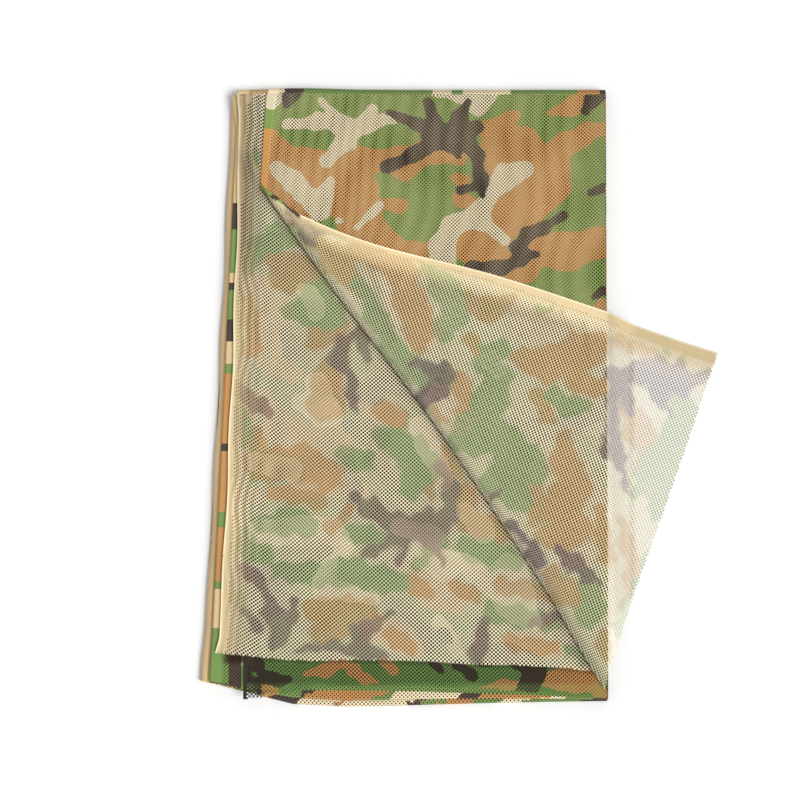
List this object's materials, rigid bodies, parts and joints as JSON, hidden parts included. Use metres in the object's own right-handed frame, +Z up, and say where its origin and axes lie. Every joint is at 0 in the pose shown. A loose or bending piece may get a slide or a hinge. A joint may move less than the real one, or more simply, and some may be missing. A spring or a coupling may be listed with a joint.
{
  "type": "folded camouflage net",
  "caption": "Cut length of printed open-mesh camouflage cloth, folded up and lying flat, with a corner of its top layer turned back over the edge of the pile.",
  "frame": {"origin": "middle of the box's floor, on the surface that the folded net lies on", "axes": "+Y along the cloth's length, towards the edge where the crosswise folds lie; +X across the cloth, from the selvedges to the lengthwise fold; +Z up, through the pile"},
  "size_m": [1.046, 1.2732, 0.0409],
  "materials": {
    "net": "matt knitted polyester mesh, printed on its face in greens, browns, sand and black, with a pale unprinted back"
  },
  "bodies": {
    "root": {"net": "net"}
  },
  "joints": []
}
